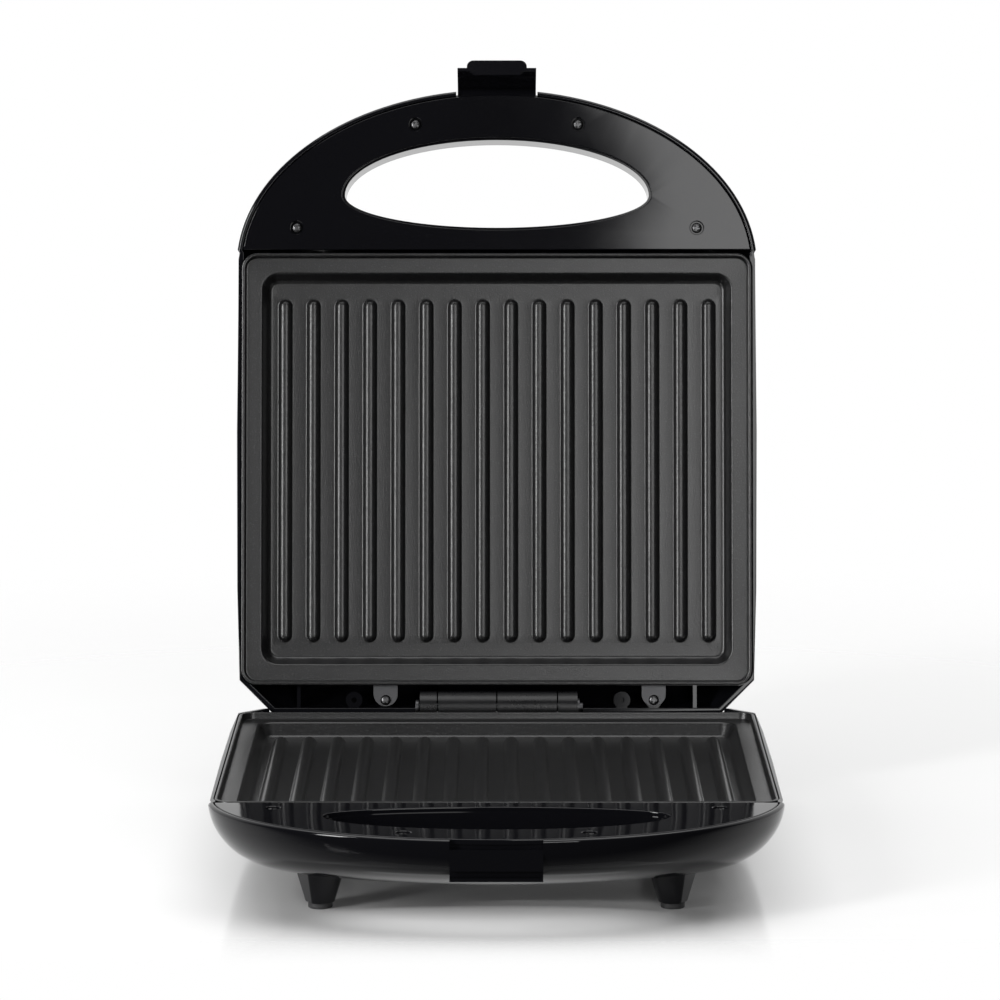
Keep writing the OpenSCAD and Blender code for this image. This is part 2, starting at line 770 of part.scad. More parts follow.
// The latch hangs from its pin, drawn fastened and then swung out to where it stands
hook_z = -(catch_z + 0.8);
hook_t = 1.8;
hook_w = 26;
tab_reach = 4.5;
module latch_fastened() {
  outer = latch_face + latch_t;
  translate([0, -latch_y, -latch_z]) difference() {
    union() {
      cross_bar(latch_y, latch_z, 2 * latch_barrel, [-latch_w / 2, latch_w / 2]);
      block([-latch_w / 2, latch_w / 2], [latch_face, outer], [hook_z - hook_t, latch_z]);
      block([-hook_w / 2, hook_w / 2], [latch_face - 2.2, outer], [hook_z - hook_t, hook_z]);
      translate([0, 0, hook_z - hook_t]) linear_extrude(hook_t) tab_plan(outer);
    }
    cross_bar(latch_y, latch_z, latch_pin_d + 2 * pin_clear, [-latch_w, latch_w]);
  }
}

module tab_plan(face) {
  r = 3.6;
  for (x = [-1, 1]) translate([x * (tab_w / 2 - r), face + tab_reach - r]) circle(r);
  translate([-tab_w / 2, face - 0.5]) square([tab_w, tab_reach - r + 0.5]);
  translate([-tab_w / 2 + r, face - 0.5]) square([tab_w - 2 * r, tab_reach + 0.5]);
}

module latch() {
  color([0.04, 0.04, 0.045]) in_lid()
    translate([0, latch_y, latch_z]) rotate([latch_rest, 0, 0]) latch_fastened();
}

module latch_pin() {
  color([0.6, 0.6, 0.6]) in_lid()
    cross_bar(latch_y, latch_z, latch_pin_d, [-notch_half - 3.8, notch_half + 3.8]);
}

base_shell();
base_handle_cover();
base_cover_screws();
base_plate();
base_plate_tabs();
base_tab_screws();
base_heater();
base_heater_clamps();
base_reflector();
base_reflector_screws();
base_wires();
thermostat();
thermal_fuse();
terminal_block();
cord_inlet_bush();
cord_clamp();
cord_clamp_screws();
front_left_foot_pad();
front_right_foot_pad();
rear_left_foot_pad();
rear_right_foot_pad();
hinge_pin();
hinge_pin_clip();
lid_shell();
lid_handle_cover();
lid_cover_screws();
lid_plate();
lid_plate_tabs();
lid_tab_screws();
lid_heater();
lid_heater_clamps();
lid_reflector();
lid_reflector_screws();
lid_wires();
power_lamp_lens();
ready_lamp_lens();
neon_lamps();
lamp_holder();
latch();
latch_pin();
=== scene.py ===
"""Panini press standing open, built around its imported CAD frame.

Each half is drawn lying in its own "half frame", in millimetres: origin on the hinge axis,
+Y towards the handle, +Z into the half. OPEN_LID and OPEN_BASE put it in its place, in metres.
"""
import json
from math import asin, cos, pi, radians, sin, sqrt

import bmesh
import bpy
from mathutils import Matrix, Vector


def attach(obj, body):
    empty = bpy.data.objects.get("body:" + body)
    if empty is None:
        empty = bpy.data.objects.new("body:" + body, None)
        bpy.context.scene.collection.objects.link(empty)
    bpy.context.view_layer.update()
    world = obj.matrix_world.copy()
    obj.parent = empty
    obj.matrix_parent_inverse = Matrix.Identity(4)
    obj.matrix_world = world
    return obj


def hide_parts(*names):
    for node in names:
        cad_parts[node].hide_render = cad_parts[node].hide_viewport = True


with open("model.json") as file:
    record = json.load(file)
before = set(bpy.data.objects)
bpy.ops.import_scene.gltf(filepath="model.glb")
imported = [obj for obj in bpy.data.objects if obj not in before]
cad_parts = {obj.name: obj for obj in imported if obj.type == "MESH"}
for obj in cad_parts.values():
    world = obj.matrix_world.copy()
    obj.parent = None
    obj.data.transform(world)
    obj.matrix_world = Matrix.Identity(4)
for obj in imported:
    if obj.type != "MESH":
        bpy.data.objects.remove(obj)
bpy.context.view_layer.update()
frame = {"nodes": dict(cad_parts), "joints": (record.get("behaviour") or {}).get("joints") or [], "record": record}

# ---- Studio: camera, floor and soft light ----
# A pale polished floor that fades into a white surround, one soft light overhead, one tall
# softbox beside the camera on the right, and a narrow one low on the left.

scene = bpy.context.scene
scene.view_settings.view_transform = "Standard"

camera = bpy.data.objects.new("camera", bpy.data.cameras.new("camera"))
camera.data.lens = 167.8
camera.data.sensor_width = 36
camera.location = (0.0017, -2.3232, 0.5136)
camera.rotation_euler = (radians(81.805), 0, 0)
scene.collection.objects.link(camera)
scene.camera = camera


class Value:
    """A number that varies over a surface; sums written with it add their Math nodes."""

    def __init__(self, finish, socket):
        self.finish, self.socket = finish, socket

    def _sum(self, operation, first, second):
        return self.finish.node("ShaderNodeMath", {"operation": operation}, {0: first, 1: second})

    def __add__(self, other):
        return self._sum("ADD", self, other)

    __radd__ = __add__

    def __mul__(self, other):
        return self._sum("MULTIPLY", self, other)

    __rmul__ = __mul__

    def __sub__(self, other):
        return self._sum("SUBTRACT", self, other)

    def __rsub__(self, other):
        return self._sum("SUBTRACT", other, self)


class Finish:
    """A material, world or light whose nodes are added one call at a time."""

    def __init__(self, owner):
        self.owner = owner
        owner.use_nodes = True
        self.nodes, self.links = owner.node_tree.nodes, owner.node_tree.links

    def node(self, kind, settings=None, values=None, out=0):
        """Add a node: settings first, a ramp's stops among them, then its sockets' values."""
        made = self.nodes.new(kind)
        for name, value in (settings or {}).items():
            if name == "stops":
                ramp = made.color_ramp.elements
                while len(ramp) < len(value):
                    ramp.new(0.5)
                for stop, (place, level) in zip(ramp, value):
                    stop.position, stop.color = place, (level, level, level, 1)
            else:
                setattr(made, name, value)
        for name, value in (values or {}).items():
            self.set(made.inputs[name], value)
        return Value(self, made.outputs[out])

    def set(self, socket, value):
        if isinstance(value, Value):
            self.links.new(value.socket, socket)
        else:
            socket.default_value = value


floor_mesh = bmesh.new()
bmesh.ops.create_grid(floor_mesh, x_segments=8, y_segments=8, size=2)
floor = bpy.data.objects.new("floor", bpy.data.meshes.new("floor"))
floor_mesh.to_mesh(floor.data)
floor_mesh.free()
scene.collection.objects.link(floor)

pale = Finish(bpy.data.materials.new("pale_floor"))
place = pale.node("ShaderNodeTexCoord", out="Object")
reach = pale.node("ShaderNodeVectorMath", {"operation": "LENGTH"}, {0: place}, out="Value")
fade = pale.node("ShaderNodeMapRange", {"interpolation_type": "SMOOTHSTEP"},
                 {"Value": reach, "From Min": 0.3, "From Max": 0.95, "To Min": 1, "To Max": 0})
shader = pale.nodes["Principled BSDF"]
shader.inputs["Base Color"].default_value = (0.76, 0.76, 0.76, 1)
shader.inputs["Roughness"].default_value = 0.08
shader.inputs["IOR"].default_value = 2.4
ahead = pale.node("ShaderNodeSeparateXYZ", values={0: place}, out="Y")
front = pale.node("ShaderNodeMapRange", {"interpolation_type": "SMOOTHSTEP"},
                  {"Value": ahead, "From Min": -0.25, "From Max": -0.15})
pale.set(shader.inputs["Alpha"], fade * front)
floor.data.materials.append(pale.owner)


def softbox(name, size, place, aim, power, fade_in=0.0):
    """A rectangular soft light; its -X edge fades in over a share of its width."""
    light = bpy.data.lights.new(name, "AREA")
    light.shape = "RECTANGLE"
    light.size, light.size_y = size
    light.energy = power
    box = bpy.data.objects.new(name, light)
    box.location = place
    box.rotation_euler = (Vector(aim) - Vector(place)).to_track_quat("-Z", "Y").to_euler()
    box.visible_camera = False
    scene.collection.objects.link(box)
    if fade_in:
        glow = Finish(light)
        across = glow.node("ShaderNodeNewGeometry", out="Parametric")
        share = glow.node("ShaderNodeSeparateXYZ", values={0: across}, out="X")
        level = glow.node("ShaderNodeMapRange", {"interpolation_type": "SMOOTHSTEP"},
                          {"Value": share, "From Min": 0.0, "From Max": fade_in})
        glow.set(glow.nodes["Emission"].inputs["Strength"], level)


softbox("overhead_softbox", (2.6, 2.2), (0, 0.1, 2.4), (0, 0, 0), 50)
softbox("right_softbox", (0.9, 1.3), (0.56, -2.5, 0.95), (0.15, 0.15, 0.3), 24, 0.1)
softbox("left_softbox", (0.4, 1.6), (-1.75, -1.5, 0.8), (0, 0.1, 0.2), 54)

# The surround is white to the eye and behind the press, and dark behind the camera, so the
# polished faces that look forward stay black.
world = bpy.data.worlds.new("white_surround")
scene.world = world
surround = Finish(world)
seen = surround.node("ShaderNodeLightPath", out="Is Camera Ray")
toward = surround.node("ShaderNodeTexCoord", out="Generated")
back = surround.node("ShaderNodeSeparateXYZ", values={0: toward}, out="Y")
ramp = surround.node("ShaderNodeMapRange", {"interpolation_type": "SMOOTHSTEP"},
                     {"Value": back, "From Min": -0.1, "From Max": 0.45,
                      "To Min": 0.045, "To Max": 0.95})
surround.nodes["Background"].inputs["Color"].default_value = (1, 1, 1, 1)
surround.set(surround.nodes["Background"].inputs["Strength"], seen * (1 - ramp) + ramp)

# ---- Housings ----
# The two shells are compression moulded in black phenolic with a polished outside. Each is one
# piece: a bowl that thins to nothing at the handle, with the wall of the finger slot inside it.

mm = 0.001
lid_hinge = next(j for j in frame["joints"] if j["name"] == "lid_hinge")
open_angle = radians(lid_hinge["range_deg"][1])
AT_HINGE = Matrix.Translation(lid_hinge["pos_m"])
OPEN_BASE = AT_HINGE @ Matrix.Rotation(pi, 4, "X") @ Matrix.Scale(mm, 4)
OPEN_LID = (AT_HINGE @ Matrix.Rotation(-open_angle, 4, "X") @ Matrix.Rotation(pi, 4, "Z")
            @ Matrix.Scale(mm, 4))
HALVES = {"lid": OPEN_LID, "base": OPEN_BASE}

body_w, rear_w, depth = 278, 275, 33.5
arc_y, cover_y, apex_y, rear_y = 236.3, 245, 331.34, -3
wall, rim = 2.6, 0.2
corner_cut = 17.4
tip_inset, side_inset, front_inset, rear_inset = 44, 26, 108, 14
flattest = 0.985


def bulge(z, size, power=1.0):
    """How far a quarter-round of the given size has drawn in at depth z."""
    return size * (1 - sqrt(max(0, 1 - (z / depth) ** 2))) ** power


def outline(z, draw_in, arc_in=0.0, steps=72):
    """Plan of a half at depth z, drawn in by draw_in: the handle's arc, then the three sides.

    arc_in draws the handle's arc in further. Behind its tips the sides step in a little, and
    their inset grows from the rear to the tips. right runs along one side from the rear."""
    half = body_w / 2 - bulge(z, tip_inset) - draw_in - arc_in
    reach = apex_y - bulge(z, front_inset, 1.5) - draw_in - arc_in - arc_y
    rise = (cover_y - arc_y) * min(1, reach / (apex_y - arc_y))
    start = asin(rise / reach)
    turns = [start + i * (pi - 2 * start) / steps for i in range(steps + 1)]
    arc = [(half * cos(t) / cos(start), arc_y + reach * sin(t)) for t in turns]
    rear = rear_w / 2 - bulge(z, side_inset) - draw_in
    back = rear_y + bulge(z, rear_inset) + draw_in
    corner = corner_cut + bulge(z, side_inset) / 2 - draw_in * 0.41
    right = [(rear - corner, back), (rear, back + corner)]
    for at, y in ((body_w / 2 - 0.2, 63.8), (body_w / 2 + 0.19, 147.6),
                  (body_w / 2 - 1 + arc_in, arc_y + rise - 5),
                  (body_w / 2 - 1, arc_y + rise - 1.6)):
        inset = side_inset + (tip_inset - side_inset) * min(1, y / arc_y)
        right.append((at - bulge(z, inset) - draw_in, y))
    return arc + [(-x, y) for x, y in reversed(right)] + right


def ring(mesh, points, z):
    """A closed loop of edges through the points, at height z; a point that repeats is left out."""
    apart = [p for p, last in zip(points, points[-1:] + points[:-1])
             if abs(p[0] - last[0]) + abs(p[1] - last[1]) > 1e-6]
    corners = [mesh.verts.new((x, y, z)) for x, y in apart]
    return [mesh.edges.new((corners[i - 1], corners[i])) for i in range(len(corners))]


def loft(mesh, rings):
    """A wall through the rings; one level with the last is lifted while it joins, not to twist."""
    for lower, upper in zip(rings, rings[1:]):
        level = upper[0].verts[0].co.z == lower[0].verts[0].co.z
        corners = list({v for e in upper for v in e.verts})
        bmesh.ops.translate(mesh, vec=(0, 0, 0.01 * level), verts=corners)
        bmesh.ops.bridge_loops(mesh, edges=lower + upper)
        bmesh.ops.translate(mesh, vec=(0, 0, -0.01 * level), verts=corners)


def lid_over(mesh, *loops):
    """A flat face inside the first loop, with the others as its holes."""
    if len(loops) == 1:
        bmesh.ops.edgeloop_fill(mesh, edges=loops[0])
    else:
        bmesh.ops.triangle_fill(mesh, use_beauty=True, edges=[e for loop in loops for e in loop])


def solid(name, mesh):
    """The mesh as an object in the scene, its faces pointing outwards."""
    bmesh.ops.remove_doubles(mesh, verts=mesh.verts, dist=1e-4)
    bmesh.ops.recalc_face_normals(mesh, faces=mesh.faces)
    made = bpy.data.objects.new(name, bpy.data.meshes.new(name))
    mesh.to_mesh(made.data)
    mesh.free()
    scene.collection.objects.link(made)
    return made


def cut(piece, tool, operation="DIFFERENCE"):
    """The piece with the tool cut from it, or joined to it; the tool is used up."""
    carve = piece.modifiers.new("cut", "BOOLEAN")
    carve.operation, carve.solver, carve.object = operation, "EXACT", tool
    depsgraph = bpy.context.evaluated_depsgraph_get()
    result = bpy.data.meshes.new_from_object(piece.evaluated_get(depsgraph))
    piece.modifiers.clear()
    piece.data = result
    bpy.data.objects.remove(tool)


def block(x, y, z):
    """A rectangular tool from its three spans."""
    mesh = bmesh.new()
    bmesh.ops.create_cube(mesh, size=1)
    centre = [(a + b) / 2 for a, b in (x, y, z)]
    spans = [b - a for a, b in (x, y, z)]
    bmesh.ops.scale(mesh, vec=spans, verts=mesh.verts)
    bmesh.ops.translate(mesh, vec=centre, verts=mesh.verts)
    return solid("tool", mesh)


def put(piece, half, node, material):
    """Finish a piece: place it, give it its material, and let it stand for its CAD node, if any."""
    piece.data.transform(HALVES[half])
    piece.data.shade_smooth()
    piece.data.set_sharp_from_angle(angle=radians(38))
    piece.data.materials.clear()
    piece.data.materials.append(material)
    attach(piece, half)
    if node:
        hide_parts(node)
    even = piece.modifiers.new("even_shading", "WEIGHTED_NORMAL")
    even.keep_sharp = True


slot_half, slot_mid, slot_front, slot_back, slot_step = 82.8, 274.3, 31.2, 18.6, 1.3


def slot_plan(grow, steps=96):
    """Plan of the finger slot: two half ellipses of one width, grown by grow."""
    turns = [i * 2 * pi / steps for i in range(steps)]
    return [((slot_half + grow) * cos(t),
             slot_mid + ((slot_front if t < pi else slot_back) + grow) * sin(t)) for t in turns]


plate_w, plate_y, plate_r = 273.4, (11.8, 243.3), 8.5


def rounded(w, y, r, grow=0.0, steps=8):
    """Plan of a rectangle centred on X with rounded corners, grown by grow."""
    half, low, high, r = w / 2 + grow, y[0] - grow, y[1] + grow, r + grow
    points = []
    for quarter, (cx, cy) in enumerate(((half - r, high - r), (-half + r, high - r),
                                        (-half + r, low + r), (half - r, low + r))):
        points += [(cx + r * cos(t), cy + r * sin(t)) for t in
                   ((quarter + i / steps) * pi / 2 for i in range(steps + 1))]
    return points


def slot_tool(grow, z):
    """A prism on the plan of the finger slot."""
    mesh = bmesh.new()
    rings = [ring(mesh, slot_plan(grow), h) for h in z]
    loft(mesh, rings)
    lid_over(mesh, rings[0])
    lid_over(mesh, rings[1])
    return solid("tool", mesh)


# Where the rings of a quarter-round lie, from the flat back to the rim
bends = [radians(a) for a in (90, 78, 69, 61, 53.5, 46, 39, 32, 25, 18.5, 12, 6)]


def bowl(name):
    """The open shell of a half: outside, rounded rim, and inside, one wall apart."""
    mesh = bmesh.new()
    rings = [ring(mesh, outline(sin(t) * flattest * depth, 0), sin(t) * depth) for t in bends]
    soft = 0.5
    rings += [ring(mesh, outline(rim, d, arc), z) for d, arc, z in (
        (0, 0, rim + 1.3), (0.1 * soft, 0.15, rim + 0.7), (0.4 * soft, 0.5, rim + 0.25),
        (soft, 0.9, rim), (wall - soft, 0, rim), (wall - 0.5 * soft, 0, rim + 0.15 * soft),
        (wall - 0.15 * soft, 0, rim + 0.5 * soft), (wall, 0, rim + soft))]
    under = depth - wall
    rings += [ring(mesh, outline(sin(t) * flattest * depth, wall), sin(t) * under)
              for t in reversed(bends)]
    loft(mesh, rings)
    lid_over(mesh, rings[0])
    lid_over(mesh, rings[-1])
    return solid(name, mesh)


def core(draw_in):
    """The space a half fills, drawn in by draw_in, to trim what is moulded inside it."""
    mesh = bmesh.new()
    rings = [ring(mesh, outline(sin(t) * flattest * depth, draw_in), sin(t) * (depth - draw_in))
             for t in bends]
    rings.append(ring(mesh, outline(rim, draw_in), rim))
    loft(mesh, rings)
    lid_over(mesh, rings[0])
    lid_over(mesh, rings[-1])
    return solid("core", mesh)


notch_half = 21.8
cover_under = 2.6
latch_y, latch_z, barrel = 327.5, 8, 5
latch_face = latch_y + barrel - 2
lid_knuckles = [(-41, -32), (0.35, 32)]
base_knuckles = [(-31.3, -0.35), (32.7, 43)]


def flipped(spans):
    """Spans along X as the lid's half frame has them."""
    return [(-b, -a) for a, b in spans]


def barrel_tool(spans, radius, segments=48):
    """Cylinders on the hinge axis, one for each span."""
    mesh = bmesh.new()
    for a, b in spans:
        turn = Matrix.Translation(((a + b) / 2, 0, 0)) @ Matrix.Rotation(pi / 2, 4, "Y")
        bmesh.ops.create_cone(mesh, cap_ends=True, segments=segments, radius1=radius,
                              radius2=radius, depth=b - a, matrix=turn)
    return solid("tool", mesh)


flange_under = 5.9
tab_x, tab_y, side_boss = (-84, 59.5), 3.8, 17
boss_r, boss_top, side_boss_top = 4.5, 7.1, 8.9
pilot_r, pilot_z = 1.4, (4, 18)
ledge_y = (11.7, 14.4)
cross_wall_x, cross_wall_y, cross_wall_top = 106, (-5, 13), 6.5
seat_gap, trough_y = 0.4, 2.4
knuckle_gap, knuckle_room = 0.7, 9.0
beyond = depth + 2


def post(place, radius, z, segments=32):
    """An upright round tool."""
    mesh = bmesh.new()
    centre = Matrix.Translation((place[0], place[1], (z[0] + z[1]) / 2))
    bmesh.ops.create_cone(mesh, cap_ends=True, segments=segments, radius1=radius,
                          radius2=radius, depth=z[1] - z[0], matrix=centre)
    return solid("tool", mesh)


def housing(name, own_block, others, stop_z):
    """A shell with its walls and bosses, cut for its slot, its plate and the other's knuckles.

    own_block is the lump behind its latch; stop_z is how deep its rear edge is cut back."""
    shell = bowl(name)
    inside = slot_tool(wall - slot_step, (cover_under, beyond))
    cut(inside, block(*own_block), "UNION")
    cut(inside, block((-body_w, body_w), ledge_y, (flange_under, beyond)), "UNION")
    for x in (-cross_wall_x, cross_wall_x):
        cut(inside, block((x - 1, x + 1), cross_wall_y, (cross_wall_top, beyond)), "UNION")
    for x in tab_x:
        cut(inside, post((x, tab_y), boss_r, (boss_top, beyond)), "UNION")
        cut(inside, post((x + side_boss, tab_y), boss_r, (side_boss_top, beyond)), "UNION")
    cut(inside, core(1.0), "INTERSECT")
    for x in tab_x:
        cut(inside, post((x + side_boss, tab_y), pilot_r, pilot_z))
    cut(shell, inside, "UNION")
    cut(shell, slot_tool(-slot_step, (-2, depth + 4)))
    seat = bmesh.new()
    seat_rings = [ring(seat, rounded(plate_w, plate_y, plate_r, seat_gap), z)
                  for z in (-2, flange_under)]
    loft(seat, seat_rings)
    lid_over(seat, seat_rings[0])
    lid_over(seat, seat_rings[1])
    cut(shell, solid("tool", seat))
    cut(shell, block((-body_w, body_w), (rear_y - 3, trough_y), (-4, stop_z)))
    for a, b in others:
        span = (a - knuckle_gap, b + knuckle_gap)
        cut(shell, barrel_tool([span], knuckle_room))
        cut(shell, block(span, (rear_y - 1, 0), (-1, knuckle_room)))
    return shell


gloss = Finish(bpy.data.materials.new("polished_black_phenolic"))
shader = gloss.nodes["Principled BSDF"]
place = gloss.node("ShaderNodeTexCoord", out="Object")
haze = gloss.node("ShaderNodeTexNoise", values={"Vector": place, "Scale": 22, "Detail": 4})
ripple = gloss.node("ShaderNodeTexNoise", values={"Vector": place, "Scale": 60, "Detail": 1})
dust = gloss.node("ShaderNodeTexNoise", values={"Vector": place, "Scale": 2600, "Detail": 1})
specks = gloss.node("ShaderNodeMapRange",
                    values={"Value": dust, "From Min": 0.72, "From Max": 0.8})
shader.inputs["Base Color"].default_value = (0.0035, 0.0035, 0.0045, 1)
shader.inputs["Specular IOR Level"].default_value = 0.26
gloss.set(shader.inputs["Roughness"], haze * 0.09 + specks * 0.2 + 0.02)
dimple = gloss.node("ShaderNodeBump",
                    values={"Height": ripple, "Strength": 0.02, "Distance": 0.0003})
gloss.set(shader.inputs["Normal"], dimple)

lid_block = ((-notch_half - 6, notch_half + 6), (latch_y - barrel - 3.4, apex_y + 2),
             (cover_under, latch_z + barrel + 3))
lid_housing = housing("lid_housing", lid_block, flipped(base_knuckles), -3)
cut(lid_housing, block((-notch_half, notch_half), (latch_y - barrel - 1, apex_y + 3),
                       (-3, latch_z + barrel + 0.8)))
put(lid_housing, "lid", "lid_shell", gloss.owner)

# The latch's recess in the base: a shelf, an upright catch face, and a groove for the hook
notch = (-notch_half, notch_half)
shelf_z, catch_y, catch_end = 5, (latch_face - 9, latch_face - 0.5), 20
groove_z = (15, 18.4)
base_block = ((-notch_half - 5, notch_half + 5), (catch_y[0], apex_y + 2), (cover_under, catch_end))
base_housing = housing("base_housing", base_block, lid_knuckles, 4.1)
cut(base_housing, block(notch, (latch_face - 4, apex_y + 3), (-3, shelf_z)))
cut(base_housing, block(notch, (catch_y[1], apex_y + 3), (4, beyond)))
cut(base_housing, block(notch, catch_y, (shelf_z, catch_end)), "UNION")
cut(base_housing, block(notch, (latch_face - 4.2, apex_y + 3), groove_z))
put(base_housing, "base", "base_shell", gloss.owner)

# ---- Cooking plates ----
# Die-cast aluminium with a raised lip, a flat land and a recess whose floor carries sixteen
# half-round ribs. The whole casting is sprayed with a dark, finely speckled non-stick coat.

land, lip, lip_h, casting = 11, 2, 3.5, 2.2
flange = rim + lip_h
recess_floor = flange + 7.5
slope = 3.5


# A rib in section: half its width and its height, from its foot to its top
rib_profile = ((4.3, 0), (3.75, 0.14), (3.45, 0.45), (3.15, 1.0), (2.65, 1.7), (2.0, 2.25),
               (1.2, 2.58), (0.4, 2.7))
rib_w, rib_n, rib_pitch, rib_y = 7, 16, 15.16, (35.1, 218.9)


def griddle(name):
    """One plate: rings from its edge over the lip and the land down to the floor, then ribs."""
    mesh = bmesh.new()
    inner_w, inner_y = plate_w - 2 * land, (plate_y[0] + land, plate_y[1] - land)

    def edge(grow, z):
        return ring(mesh, rounded(plate_w, plate_y, plate_r, grow), z)

    def well(grow, z):
        return ring(mesh, rounded(inner_w, inner_y, plate_r, grow), z)

    top = [edge(0, flange + casting), edge(0, rim + 0.8), edge(-0.25, rim + 0.2), edge(-0.8, rim),
           edge(-lip + 0.6, rim), edge(-lip + 0.15, rim + 0.25), edge(-lip, rim + 0.8),
           edge(-lip - 0.2, flange - 0.8), edge(-lip - 0.5, flange - 0.2), edge(-lip - 1.1, flange),
           well(0.9, flange), well(0.2, flange + 0.15), well(-0.4, flange + 0.8),
           well(-slope + 0.7, recess_floor - 1.5), well(-slope, recess_floor - 0.6),
           well(-slope - 0.8, recess_floor - 0.12), well(-slope - 1.6, recess_floor)]
    loft(mesh, top)
    under = [top[0], well(casting + 0.4, flange + casting),
             well(casting - slope, recess_floor + casting)]
    loft(mesh, under)
    lid_over(mesh, under[-1])
    feet = []
    for i in range(rib_n):
        x = (i - (rib_n - 1) / 2) * rib_pitch
        rib = [ring(mesh, rounded(2 * r, (rib_y[0] + rib_w / 2 - r, rib_y[1] - rib_w / 2 + r), r),
                    recess_floor - h) for r, h in rib_profile]
        bmesh.ops.translate(mesh, vec=(x, 0, 0), verts=list({v for loop in rib for e in loop
                                                             for v in e.verts}))
        loft(mesh, rib)
        lid_over(mesh, rib[-1])
        feet.append(rib[0])
    lid_over(mesh, top[-1], *feet)
    return solid(name, mesh)


coat = Finish(bpy.data.materials.new("speckled_nonstick_coat"))
shader = coat.nodes["Principled BSDF"]
place = coat.node("ShaderNodeTexCoord", out="Object")
fine = coat.node("ShaderNodeTexNoise", values={"Vector": place, "Scale": 1500, "Detail": 3})
coarse = coat.node("ShaderNodeTexNoise", values={"Vector": place, "Scale": 34, "Detail": 3})
flakes = coat.node("ShaderNodeMapRange", values={"Value": fine, "From Min": 0.56, "From Max": 0.7})
tone = coat.node("ShaderNodeMix", {"data_type": "RGBA"},
                 {"Factor": flakes, "A": (0.004, 0.004, 0.0043, 1),
                  "B": (0.028, 0.028, 0.029, 1)}, out="Result")
coat.set(shader.inputs["Base Color"], tone)
coat.set(shader.inputs["Roughness"], coarse * 0.06 + flakes * 0.08 + 0.28)
pits = coat.node("ShaderNodeBump", values={"Height": fine, "Strength": 0.35, "Distance": 0.0002})
coat.set(shader.inputs["Normal"], pits)

for half in HALVES:
    put(griddle(f"{half}_griddle"), half, f"{half}_plate", coat.owner)

# ---- Handle covers ----
# A flat moulded cover closes each handle. It drops into a seat inside the rim, with a fine
# gap all round, has its own edge rounded over, and is pierced for the slot and four screws.

cover_t, cover_in = 2.4, 3.0
outer_screw = (slot_half + 24.4, cover_y + 11.8)
inner_screw = (43.6, slot_mid + slot_front * sqrt(1 - (43.6 / slot_half) ** 2) + 11.6)
cover_screws = [(s * x, y) for s in (-1, 1) for x, y in (outer_screw, inner_screw)]


def round_plan(place, radius, steps=32):
    """Plan of a circle."""
    turns = [i * 2 * pi / steps for i in range(steps)]
    return [(place[0] + radius * cos(t), place[1] + radius * sin(t)) for t in turns]


def cover_plan(draw_in, steps=96):
    """Plan of a handle cover: the handle's arc and the straight edge beside the plate."""
    half = body_w / 2 - draw_in
    reach = apex_y - draw_in - arc_y
    rear = cover_y + draw_in - cover_in
    start = asin((rear - arc_y) / reach)
    scale = 1 / cos(asin((cover_y - arc_y) / (apex_y - arc_y)))
    turns = [start + i * (pi - 2 * start) / steps for i in range(steps + 1)]
    return [(half * scale * cos(t), arc_y + reach * sin(t)) for t in turns]


def handle_cover(name):
    """One cover: its edge, its slot and its stepped screw holes, with a face on each side."""
    mesh = bmesh.new()
    soft = 0.55

    def over(plan):
        """Loops that round the top edge over and run down to the underside."""
        return [ring(mesh, plan(d), z) for d, z in (
            (soft, rim), (0.5 * soft, rim + 0.15 * soft), (0.15 * soft, rim + 0.5 * soft),
            (0, rim + soft), (0, rim + cover_t))]

    loops = [over(lambda d: cover_plan(cover_in + d)), over(slot_plan)]
    for place in cover_screws:
        loops.append([ring(mesh, round_plan(place, r), z) for r, z in (
            (3.9, rim), (3.6, rim + 0.3), (3.5, rim + 1.9), (1.6, rim + 1.9),
            (1.6, rim + cover_t))])
    for chain in loops:
        loft(mesh, chain)
    lid_over(mesh, *[chain[0] for chain in loops])
    lid_over(mesh, *[chain[-1] for chain in loops])
    return solid(name, mesh)


for half in HALVES:
    put(handle_cover(f"{half}_cover"), half, f"{half}_handle_cover",
        gloss.owner)

# ---- Feet ----
# Four tapered feet are moulded with the base; each has one flat cut on its outer side. A rubber
# pad is pushed into the end of each.

foot_x, foot_y = 84.8, (31.8, 255)
foot_top, foot_tip, foot_start, foot_end = 13.7, 7.0, 24.5, 46.5
facet_in = (5.4, 3.1)

mesh = bmesh.new()
for side in (-1, 1):
    for y in foot_y:
        foot = bmesh.new()
        centre = Matrix.Translation((side * foot_x, y, (foot_start + foot_end) / 2))
        bmesh.ops.create_cone(foot, cap_ends=True, segments=48, radius1=foot_top,
                              radius2=foot_tip, depth=foot_end - foot_start, matrix=centre)
        ahead = 1 if y == foot_y[1] else -1
        sliced = bmesh.ops.bisect_plane(
            foot, geom=foot.verts[:] + foot.edges[:] + foot.faces[:], dist=1e-4,
            plane_co=(side * (foot_x + facet_in[0]), y + ahead * facet_in[1], foot_end),
            plane_no=(side * 0.86, ahead * 0.5, 0.24), clear_outer=True)
        rim_edges = [e for e in sliced["geom_cut"] if isinstance(e, bmesh.types.BMEdge)]
        bmesh.ops.holes_fill(foot, edges=rim_edges)
        corners = [e for e in foot.edges if e.is_manifold and e.calc_face_angle(0) > 0.35]
        bmesh.ops.bevel(foot, geom=corners, offset=0.5, segments=2, affect="EDGES", profile=0.5,
                        material=-1)
        lump = bpy.data.meshes.new("foot")
        foot.to_mesh(lump)
        foot.free()
        mesh.from_mesh(lump)
feet = solid("base_feet", mesh)
put(feet, "base", None, gloss.owner)


